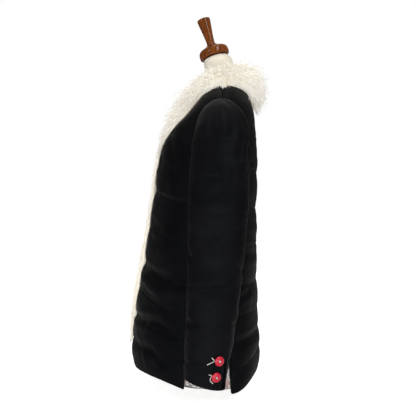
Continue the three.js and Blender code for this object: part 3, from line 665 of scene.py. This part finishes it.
def scatter_tree(locks, material, count, length, growth, seed):
    """Geometry nodes that cover a pelt with locks, which lean as it says and draw together into wavy tufts."""
    tree = bpy.data.node_groups.new("fur_" + locks.name, "GeometryNodeTree")
    tree.interface.new_socket("Geometry", in_out="INPUT", socket_type="NodeSocketGeometry")
    tree.interface.new_socket("Geometry", in_out="OUTPUT", socket_type="NodeSocketGeometry")
    g = Graph(tree)

    def named(attribute, kind="FLOAT"):
        return g.node("GeometryNodeInputNamedAttribute", {"data_type": kind}, {"Name": attribute})

    def vector(operation, *values):
        sockets = {3 if (operation == "SCALE" and i == 1) else i: value for i, value in enumerate(values)}
        return g.node("ShaderNodeVectorMath", {"operation": operation}, sockets)

    def chance(high, use):
        values = {2: 0.0, 3: high, "Seed": seed + SALTS[use]}
        return g.node("FunctionNodeRandomValue", {"data_type": "FLOAT"}, values, out=1)

    def drift(scale, detail, amount):
        """A smooth random vector that changes from place to place."""
        values = {"Vector": place, "Scale": scale, "Detail": detail}
        cloud = g.node("ShaderNodeTexNoise", None, values, out="Color")
        return vector("SCALE", vector("SUBTRACT", cloud, (0.5, 0.5, 0.5)), amount)

    def keep(geometry, name, value, kind="FLOAT"):
        values = {"Geometry": geometry, "Name": name, "Value": value}
        return g.node("GeometryNodeStoreNamedAttribute", {"data_type": kind, "domain": "POINT"}, values)

    def scattered(geometry, number, use):
        area = g.node("GeometryNodeAttributeStatistic", {"domain": "FACE"}, {
            "Geometry": geometry,
            "Attribute": g.node("GeometryNodeInputMeshFaceArea") * named("pelt"),
        }, out="Sum")
        values = {"Mesh": geometry, "Density": named("pelt") * (number / area), "Seed": seed + SALTS[use]}
        return g.node("GeometryNodeDistributePointsOnFaces", None, values)

    pelt = g.node("NodeGroupInput")
    place = g.node("GeometryNodeInputPosition")
    roots = scattered(pelt, count, "roots")
    tufts = scattered(pelt, growth["tufts"], "tufts")
    nearest = g.node("GeometryNodeSampleNearest", {"domain": "POINT"}, {"Geometry": tufts})
    towards = g.node("GeometryNodeSampleIndex", {"data_type": "FLOAT_VECTOR", "domain": "POINT"}, {
        "Geometry": tufts, "Value": place, "Index": nearest,
    })
    pull = vector("SCALE", vector("SUBTRACT", towards, place), named("draw"))
    roots = keep(roots, "pull", pull, "FLOAT_VECTOR")
    roots = keep(roots, "shade", chance(1.0, "shade"))
    stray = g.node("FunctionNodeRandomValue", {"data_type": "FLOAT_VECTOR"}, {
        0: (-STRAY,) * 3, 1: (STRAY,) * 3, "Seed": seed + SALTS["stray"],
    })
    wander = drift(WANDER_SCALE, 1.0, growth["wander"])
    lie = vector("ADD", vector("ADD", named("lie", "FLOAT_VECTOR"), wander), stray)
    turn = g.node("FunctionNodeAlignRotationToVector", {"axis": "Z"}, {"Vector": lie})
    spin = chance(2 * math.pi, "spin")
    spun = g.node("FunctionNodeAxisAngleToRotation", None, {"Axis": (0, 0, 1), "Angle": spin})
    turn = g.node("FunctionNodeRotateRotation", {"rotation_space": "LOCAL"}, {0: turn, 1: spun})
    luck = chance(1.0, "length")
    rare = (luck ** LOCK_LENGTHS["rarity"]) * LOCK_LENGTHS["rare"]
    uneven = luck * LOCK_LENGTHS["random"] + rare + LOCK_LENGTHS["shortest"]
    kinds = g.node("GeometryNodeCollectionInfo", None, {
        0: locks, "Separate Children": True, "Reset Children": True,
    })
    pick = g.node("FunctionNodeRandomValue", {"data_type": "INT"}, {
        4: 0, 5: len(LOCKS) - 1, "Seed": seed + SALTS["kind"],
    }, out=2)
    hairs = g.node("GeometryNodeInstanceOnPoints", None, {
        "Points": roots, "Instance": kinds, "Pick Instance": True, "Instance Index": pick, "Rotation": turn,
        "Scale": named("length") * uneven * length,
    })
    hairs = g.node("GeometryNodeRealizeInstances", None, {"Geometry": hairs})
    tip = named("tip")
    drawn = vector("SCALE", named("pull", "FLOAT_VECTOR"), (tip ** TIP_DRAW) * growth["draw"])
    swirl = drift(growth["wave_scale"], 0.0, (tip ** TIP_WAVE) * (growth["wave"] * MM))
    hairs = g.node("GeometryNodeSetPosition", None, {"Geometry": hairs, "Offset": vector("ADD", drawn, swirl)})
    hairs = g.node("GeometryNodeSetMaterial", None, {"Geometry": hairs, "Material": material})
    joined = g.node("GeometryNodeJoinGeometry", None, {0: pelt})
    tree.links.new(hairs.socket, joined.socket.node.inputs[0])
    tree.links.new(joined.socket, tree.nodes.new("NodeGroupOutput").inputs[0])
    return tree


def nearest_cloth(nodes):
    """A tree for finding the nearest point of some nodes."""
    form = node_form(*nodes)
    tree = BVHTree.FromBMesh(form)
    form.free()
    return tree


def pelt_zones(places, normals, radial, away, growth):
    """How far each place on the pelt belongs to each of its zones, from 0 to 1."""
    neck = smooth(*NECK_SLOPE, -(normals * radial).sum(axis=1))
    return {
        "neck": neck,
        "crest": smooth(*CREST_SLOPE, normals[:, 2]),
        "low_end": 1 - smooth(*metres(growth["low_end"]), places[:, 2]),
        "underside": np.clip(-normals[:, 2], 0, 1),
        "rim": (1 - smooth(*metres(RIM_REACH), away)) * (1 - neck),
    }


def hair_lie(normals, radial, off_cloth, away, zones, growth):
    """Which way hair lies: out of the skin and down it, outward from the crest, and off the cloth beside it."""
    flow = np.array([0, 0, -1.0]) + normals * normals[:, 2:3]
    flow /= np.maximum(np.linalg.norm(flow, axis=1), 0.2)[:, None]
    stand = growth["stand"] * (1 - growth["flat_end"] * zones["low_end"])
    off_top = growth["crest"] * zones["crest"]
    lie = normals * stand[:, None] + flow * growth["fall"] + radial * off_top[:, None]
    lie[:, 2] -= sum(share * zones[zone] for zone, share in MORE_DOWN.items()) + growth["drop"] * zones["rim"]
    beside = 1 - smooth(*metres(OVER_CLOTH), away)
    for off, least, near in ((normals, LEAST_STAND, 1.0), (off_cloth, LEAST_OFF_CLOTH, beside)):
        lie -= off * (np.minimum((lie * off).sum(axis=1) - least, 0) * near)[:, None]
    return lie


def fur(name, node, under, locks, count, hair, growth, seed):
    """A skin drawn in from the node's form, with locks that lean out and down and reach as far as the form."""
    form = node_form(node)
    whole = BVHTree.FromBMesh(form)
    pelt = finer(form, 2, crisp=75, crease=0.3)
    places, normals = numbers(pelt), numbers(pelt, "normal")
    cloth = nearest_cloth(under)
    met = [cloth.find_nearest(Vector(place)) for place in places]
    away = np.array([hit[3] for hit in met])
    off_cloth = np.array([hit[1] for hit in met])
    through = np.array([
        whole.ray_cast(Vector(place - JUST_UNDER * normal), Vector(-normal))[3] or 0.0
        for place, normal in zip(places, normals)
    ])
    radial = (places - [0, MIDDLE_Y, 0]) * [1, 1, 0]
    radial /= np.linalg.norm(radial, axis=1)[:, None]
    zones = pelt_zones(places, normals, radial, away, growth)
    drawn_in = np.minimum(growth["skin"] * MM, MOST_DRAWN * through) * smooth(*metres(DRAWN_SKIN), away)
    keep_numbers(pelt, places - normals * drawn_in[:, None])
    store(pelt, "lie", hair_lie(normals, radial, off_cloth, away, zones, growth))
    store(pelt, "pelt", smooth(*metres(BARE_SKIN), away))
    length = 1 - growth["short_end"] * zones["low_end"]
    for zone, less in SHORTER.items():
        length = length * (1 - less * zones[zone])
    store(pelt, "length", length)
    store(pelt, "draw", 1 - RIM_LOOSE * zones["rim"])
    store(pelt, "tip", np.zeros(len(places)))
    store(pelt, "shade", np.full(len(places), SKIN_SHADE))
    material = fur_finish()
    tree = scatter_tree(locks, material, count, hair, growth, seed)
    add_piece(name, modified(pelt, "NODES", node_group=tree), material, [node])


# ---- Materials ----

made_finishes = {}


def once(build):
    """Each material is made once and then shared."""

    def shared():
        if build.__name__ not in made_finishes:
            made_finishes[build.__name__] = build()
        return made_finishes[build.__name__]

    return shared


@once
def satin():
    """Tightly woven black satin over down, with stitched lines."""
    m = Finish(
        "satin",
        roughness=settings().shell_roughness,
        specular_ior_level=0.05,
        specular_tint=(0.8, 0.88, 1, 1),
    )
    at = m.place()
    tone = m.cloudy(at, 14.0, detail=3.0)
    base = settings().shell_colour
    colour = m.blend(tone.ramp(0.35, 0.7), base, toned(base, 1.9))
    line, along = m.attribute("line"), m.attribute("round_it")
    stitch = line.size().below(0.7 * MM) * (along / (3.2 * MM)).loop().below(0.72)
    colour = m.blend(stitch, colour, (0.003, 0.003, 0.0034))
    weave = m.waves(at, 900.0, "Z") * 0.5 + m.waves(at, 900.0, "Y") * 0.5
    crumple = m.cloudy(m.place((1, 1, 2.2)), 42.0, detail=4.0, roughness=0.62, distortion=0.6)
    fine = m.cloudy(at, 190.0, detail=2.0)
    normal = m.raise_by(crumple, 3.2 * MM, 0.5)
    normal = m.raise_by(fine, 0.35 * MM, 0.5, under=normal)
    normal = m.raise_by(weave, 0.05 * MM, 0.35, under=normal)
    normal = m.raise_by(stitch, 0.4 * MM, 0.8, under=normal)
    dull = settings().shell_roughness
    shine = m.cloudy(at, 9.0).ramp(0.3, 0.7, dull - 0.05, dull + 0.08)
    return m.done(base_color=colour, roughness=shine, normal=normal)


@once
def fur_finish():
    """Cream lamb fur: warm and shaded near the skin, pale at the tips, and glowing faintly in its own colour as
    painted light.
    """
    # The emission is painted light: the fur glows faintly in its own colour, standing in for light scattered
    # through the hair.
    m = Finish("cream_fur", roughness=0.75, sheen_weight=0.3, specular_ior_level=0.2, emission_strength=0.17)
    tip, shade = m.attribute("tip"), m.attribute("shade")
    tuft = m.cloudy(m.place(), 26.0, detail=2.0)
    pale = m.blend(shade, settings().fur_colour, toned(settings().fur_colour, 0.94))
    pale = m.blend(tuft.ramp(0.55, 0.8, 0.0, 0.2), pale, (0.9, 0.83, 0.7))
    colour = m.blend(tip.ramp(0.0, 0.45), settings().fur_root_colour, pale)
    fine = m.cloudy(m.place((1, 1, 0.4)), 420.0, detail=2.0)
    return m.done(base_color=colour, emission_color=colour, normal=m.raise_by(fine, 0.5 * MM, 0.4))


@once
def printed_lining():
    """Off-white lining with a loose print of grey and rose-brown petals."""
    m = Finish("printed_lining", roughness=0.5, sheen_weight=0.15, specular_ior_level=0.4)
    at = m.place()
    swirl = m.cloudy(at, 30.0, detail=2.0, distortion=1.2)
    grey = m.cloudy(at, 62.0, detail=3.0, roughness=0.6, distortion=2.0).ramp(0.54, 0.6)
    rose = m.cloudy(m.place(middle=(0.31, 0.17, 0.23)), 48.0, detail=2.0, distortion=1.6).ramp(0.6, 0.66)
    ground = m.blend(swirl.ramp(0.35, 0.65), (0.84, 0.82, 0.78), (0.66, 0.65, 0.64))
    colour = m.blend(grey * 0.85, ground, (0.16, 0.15, 0.16))
    colour = m.blend(rose * 0.8, colour, (0.42, 0.2, 0.16))
    weave = m.waves(at, 1100.0, "Z") * 0.5 + m.waves(at, 1100.0, "X") * 0.5
    normal = m.raise_by(m.cloudy(at, 60.0, detail=3.0), 1.6 * MM, 0.5)
    return m.done(base_color=colour, normal=m.raise_by(weave, 0.06 * MM, 0.4, under=normal))


@once
def red_resin():
    """Glossy red button resin with faint streaks."""
    m = Finish("red_resin", roughness=0.3, coat_weight=0.3, coat_roughness=0.08, specular_ior_level=0.25)
    streaks = m.cloudy(m.place((1, 1, 3.5)), 160.0, detail=3.0, distortion=2.5)
    red = settings().button_colour
    colour = m.blend(streaks.ramp(0.4, 0.75), red, tuple(min(1.0, 0.02 + 1.25 * c) for c in red))
    scratches = m.cloudy(m.place((1, 1, 6)), 700.0, detail=1.0)
    return m.done(base_color=colour, normal=m.raise_by(scratches, 0.06 * MM, 0.25))


@once
def grey_cord():
    """Twisted silver-grey cord, with painted shade in the grooves of its twist."""
    m = Finish("grey_cord", roughness=0.55, sheen_weight=0.3)
    twist = m.waves(m.place(turn=(0.6, 0, 0.5)), 420.0, "DIAGONAL")
    # Painted shade: the colour follows the twist's height and is darkest in its grooves.
    colour = m.blend(twist.ramp(0.2, 0.9), (0.3, 0.28, 0.27), (0.66, 0.63, 0.6))
    return m.done(base_color=colour, normal=m.raise_by(twist, 0.3 * MM, 0.8))


@once
def jersey():
    """Ivory cotton jersey, stretched over the form in fine ribs, with painted shade in the grooves of the knit.
    """
    m = Finish("jersey", roughness=0.85, sheen_weight=0.3, sheen_roughness=0.5, specular_ior_level=0.25)
    at = m.place()
    ribs = m.waves(at, 330.0, "X", distortion=0.6) * 0.6 + m.waves(at, 330.0, "Y", distortion=0.6) * 0.4
    courses = m.waves(at, 480.0, "Z", distortion=0.8)
    knit = ribs * 0.7 + courses * 0.3
    tone = m.cloudy(at, 12.0, detail=3.0)
    colour = m.blend(tone.ramp(0.35, 0.7), (0.79, 0.72, 0.6), (0.83, 0.77, 0.66))
    # Painted shade: the colour is darkened where the knit's height is lowest, in the grooves between the ribs.
    colour = m.blend(knit.ramp(0.0, 0.35, 0.25, 0.0), colour, (0.62, 0.55, 0.44))
    return m.done(base_color=colour, normal=m.raise_by(knit, 0.35 * MM, 0.7))


@once
def varnished_wood():
    """Red-brown turned wood under a bright varnish."""
    m = Finish("varnished_wood", roughness=0.5, coat_weight=0.4, coat_roughness=0.05, specular_ior_level=0.0)
    lean = (math.radians(-17.5), 0, 0)
    grain = m.cloudy(m.place((1, 1, 0.07), lean), 260.0, detail=5.0, roughness=0.6, distortion=0.3)
    rings = m.cloudy(m.place((1, 1, 0.12), lean), 60.0, detail=3.0, distortion=1.4)
    tone = settings().wood_colour
    colour = m.blend(rings.ramp(0.3, 0.7), toned(tone, 0.72), toned(tone, 1.3))
    colour = m.blend(grain.ramp(0.5, 0.72, 0.0, 0.6), colour, toned(tone, 0.3))
    return m.done(base_color=colour, normal=m.raise_by(grain, 0.05 * MM, 0.2))


@once
def brushed_steel():
    """Drawn steel tube with fine lines round it."""
    m = Finish("brushed_steel", base_color=(0.56, 0.56, 0.57, 1), metallic=1.0, roughness=0.3)
    lines = m.cloudy(m.place((0.05, 0.05, 1)), 900.0, detail=2.0)
    return m.done(roughness=lines.ramp(0.3, 0.7, 0.22, 0.42), normal=m.raise_by(lines, 0.05 * MM, 0.3))


@once
def studio_paper():
    """Matt white studio paper."""
    m = Finish("studio_paper", roughness=0.9, emission_strength=0.8)
    mottle = m.cloudy(m.place(), 3.0, detail=2.0)
    seen = m.node("ShaderNodeLightPath", out="Is Camera Ray")
    paper = m.blend(mottle, (0.9, 0.9, 0.9), (0.93, 0.93, 0.93))
    return m.done(base_color=paper, emission_color=seen)


# ---- Stage ----

FLOOR_REACH = 30.0
# The room's light rises from the horizon's share to the share from above, reached at this upward slope.
ROOM_LIGHT = {"slope": 0.8, "horizon": 0.4, "above": 1.4}
SENSOR_WIDTH = 36.0
# The soft boxes: places and sizes in metres, power in watts.
LIGHTS = [
    {"name": "key_light", "place": (1.6, 0.9, 1.9), "width": 0.6, "height": 1.5, "power": 22.0},
    {"name": "fill_light", "place": (1.7, -1.3, 1.5), "width": 0.35, "height": 1.3, "power": 7.0},
    {"name": "top_light", "place": (0.1, 0.1, 2.6), "width": 1.2, "height": 1.2, "power": 9.0},
    {"name": "back_light", "place": (-1.9, -0.2, 1.6), "width": 1.0, "height": 1.4, "power": 12.0},
    {"name": "low_light", "place": (1.4, -0.1, 0.12), "width": 2.4, "height": 0.2, "power": 11.0},
]
COAT_MIDDLE = Vector((0, MIDDLE_Y, 0.5))


def lay_floor():
    """Pale paper under the form, too wide for its edge to show."""
    form = bmesh.new()
    bmesh.ops.create_grid(form, x_segments=2, y_segments=2, size=FLOOR_REACH)
    mesh = bpy.data.meshes.new("studio_floor")
    form.to_mesh(mesh)
    form.free()
    floor = bpy.data.objects.new("studio_floor", mesh)
    bpy.context.scene.collection.objects.link(floor)
    mesh.materials.append(studio_paper())


def fill_room(stage):
    """The light from all round, which the camera sees as plain white."""
    world = bpy.data.worlds.new("studio")
    world.use_nodes = True
    room = Graph(world.node_tree)
    backdrop = world.node_tree.nodes["Background"].inputs
    backdrop["Color"].default_value = (1, 1, 1, 1)
    seen = room.node("ShaderNodeLightPath", out="Is Camera Ray")
    upward = room.node("ShaderNodeSeparateXYZ", None, {0: room.node("ShaderNodeTexCoord")}, out="Z")
    ambient = upward.ramp(0.0, ROOM_LIGHT["slope"], ROOM_LIGHT["horizon"], ROOM_LIGHT["above"]) * stage.ambient
    room.feed(backdrop["Strength"], seen + (1 - seen) * ambient)
    bpy.context.scene.world = world


def hang_lights(stage):
    """The soft boxes, turned to the coat's middle."""
    for light in LIGHTS:
        data = bpy.data.lights.new(light["name"], "AREA")
        data.shape, data.size, data.size_y = "RECTANGLE", light["width"], light["height"]
        data.energy = light["power"] * stage.light
        lamp = bpy.data.objects.new(light["name"], data)
        lamp.location = light["place"]
        lamp.rotation_euler = (COAT_MIDDLE - lamp.location).to_track_quat("-Z", "Y").to_euler()
        bpy.context.scene.collection.objects.link(lamp)


def set_camera(stage):
    """The camera at the wearer's left, level and square to the coat's middle plane."""
    data = bpy.data.cameras.new("camera")
    data.lens, data.sensor_width = stage.lens, SENSOR_WIDTH
    camera = bpy.data.objects.new("camera", data)
    camera.location = (stage.distance, MIDDLE_Y, stage.eye_height)
    camera.rotation_euler = (math.radians(90), 0, math.radians(90))
    bpy.context.scene.collection.objects.link(camera)
    bpy.context.scene.camera = camera


# ---- Operators ----


class MakeBody(Operator):
    """The back and the two fronts, in satin over down"""

    bl_idname = "down_coat.body"
    bl_label = "Body"

    def execute(self, context):
        back = panel("back_panel", "back", sleeve=False, vary=0.0)
        for number, side in enumerate(SIDES):
            front = panel(f"front_panel_{side}", f"front_{side}", sleeve=False, vary=2.0 + 1.7 * number)
        return {"FINISHED"}


class MakeSleeves(Operator):
    """The two sleeves, in satin over down"""

    bl_idname = "down_coat.sleeves"
    bl_label = "Sleeves"

    def execute(self, context):
        for number, side in enumerate(SIDES):
            made = panel(f"sleeve_tube_{side}", f"sleeve_{side}", sleeve=True, vary=6.0 + 2.3 * number)
        return {"FINISHED"}


class MakeLinings(Operator):
    """The printed lining inside the hem and the cuffs"""

    bl_idname = "down_coat.linings"
    bl_label = "Linings"

    def execute(self, context):
        for side in SIDES:
            hem = finer(node_form(f"lining_{side}"), 2)
            hem = add_piece(f"hem_lining_{side}", hem, printed_lining(), [f"lining_{side}"])
            cuff = finer(node_form(f"cuff_lining_{side}"), 2)
            replaced = [f"cuff_lining_{side}"]
            cuff = add_piece(f"cuff_facing_{side}", cuff, printed_lining(), replaced)
        return {"FINISHED"}


class MakeCollar(Operator):
    """The long-haired fur collar"""

    bl_idname = "down_coat.collar"
    bl_label = "Collar"

    def execute(self, context):
        locks = lock_set("collar_locks", COLLAR_FUR["thickness"])
        for number, side in enumerate(SIDES):
            under = [f"front_{side}", "back", "sleeve_left", "sleeve_right", "form_torso"]
            fur(
                f"fur_collar_{side}", f"collar_{side}", under, locks, settings().collar_locks,
                settings().collar_hair, COLLAR_FUR, COLLAR_FUR["seed"] + SEED_STEP * number,
            )
        return {"FINISHED"}


class MakeEdges(Operator):
    """The fur along the two front edges"""

    bl_idname = "down_coat.edges"
    bl_label = "Front edges"

    def execute(self, context):
        locks = lock_set("edge_locks", EDGE_FUR["thickness"])
        for number, side in enumerate(SIDES):
            fur(
                f"fur_edge_{side}", f"edge_fur_{side}", [f"front_{side}"], locks, settings().edge_locks,
                settings().edge_hair, EDGE_FUR, EDGE_FUR["seed"] + SEED_STEP * number,
            )
        return {"FINISHED"}


class MakeButtons(Operator):
    """The cuff buttons with their knots and cord loops"""

    bl_idname = "down_coat.buttons"
    bl_label = "Buttons"

    def execute(self, context):
        for side in SIDES:
            for level in ("upper", "lower"):
                for kind, slot, finish, crisp in (
                    ("button", "red_button", red_resin, 70),
                    ("knot", "grey_cord", grey_cord, 80),
                    ("loop", "grey_cord", grey_cord, 80),
                ):
                    node = f"{kind}_{side}_{level}"
                    mesh = finer(node_form(node), 2, crisp=crisp, crease=0.45)
                    add_piece(f"cuff_{node}", mesh, finish(), [node])
        return {"FINISHED"}


class MakeForm(Operator):
    """The display form: jersey torso, wooden cap and finial, steel pole and base"""

    bl_idname = "down_coat.form"
    bl_label = "Display form"

    def execute(self, context):
        for name, node, slot, finish, levels, crease in (
            ("jersey_torso", "form_torso", "jersey", jersey, 2, 0.0),
            ("neck_cap", "form_cap", "varnished_wood", varnished_wood, 2, 0.5),
            ("neck_finial", "form_finial", "varnished_wood", varnished_wood, 2, 0.5),
            ("stand_pole", "form_pole", "steel", brushed_steel, 3, 0.9),
            ("stand_base", "form_base", "steel", brushed_steel, 2, 0.9),
        ):
            mesh = finer(node_form(node), levels, crisp=35, crease=crease)
            add_piece(name, mesh, finish(), [node])
        return {"FINISHED"}


class MakeStage(Operator):
    """A pale floor, soft lights and the camera at the wearer's left"""

    bl_idname = "down_coat.stage"
    bl_label = "Stage"

    def execute(self, context):
        stage = context.scene.coat_stage
        lay_floor()
        fill_room(stage)
        hang_lights(stage)
        set_camera(stage)
        context.scene.view_settings.view_transform = "Standard"
        return {"FINISHED"}


class CoatPanel(Panel):
    """The coat's pieces and sizes, in the sidebar"""

    bl_idname = "VIEW3D_PT_down_coat"
    bl_label = "Down Coat"
    bl_space_type = "VIEW_3D"
    bl_region_type = "UI"
    bl_category = "Down Coat"

    def draw(self, context):
        for group in (context.scene.down_coat, context.scene.coat_stage):
            for name in group.bl_rna.properties.keys():
                if name not in ("rna_type", "name"):
                    self.layout.prop(group, name)
        for operator in PIECES:
            self.layout.operator(operator.bl_idname)


PIECES = (MakeStage, MakeBody, MakeSleeves, MakeLinings, MakeCollar, MakeEdges, MakeButtons, MakeForm)
CLASSES = (CoatSettings, StageSettings, *PIECES, CoatPanel)


def register():
    for cls in CLASSES:
        bpy.utils.register_class(cls)
    bpy.types.Scene.down_coat = PointerProperty(type=CoatSettings)
    bpy.types.Scene.coat_stage = PointerProperty(type=StageSettings)


def unregister():
    del bpy.types.Scene.coat_stage
    del bpy.types.Scene.down_coat
    for cls in reversed(CLASSES):
        bpy.utils.unregister_class(cls)


def main():
    register()
    bpy.ops.down_coat.stage()
    bpy.ops.down_coat.body()
    bpy.ops.down_coat.sleeves()
    bpy.ops.down_coat.linings()
    bpy.ops.down_coat.collar()
    bpy.ops.down_coat.edges()
    bpy.ops.down_coat.buttons()
    bpy.ops.down_coat.form()


if __name__ == "__main__":
    main()
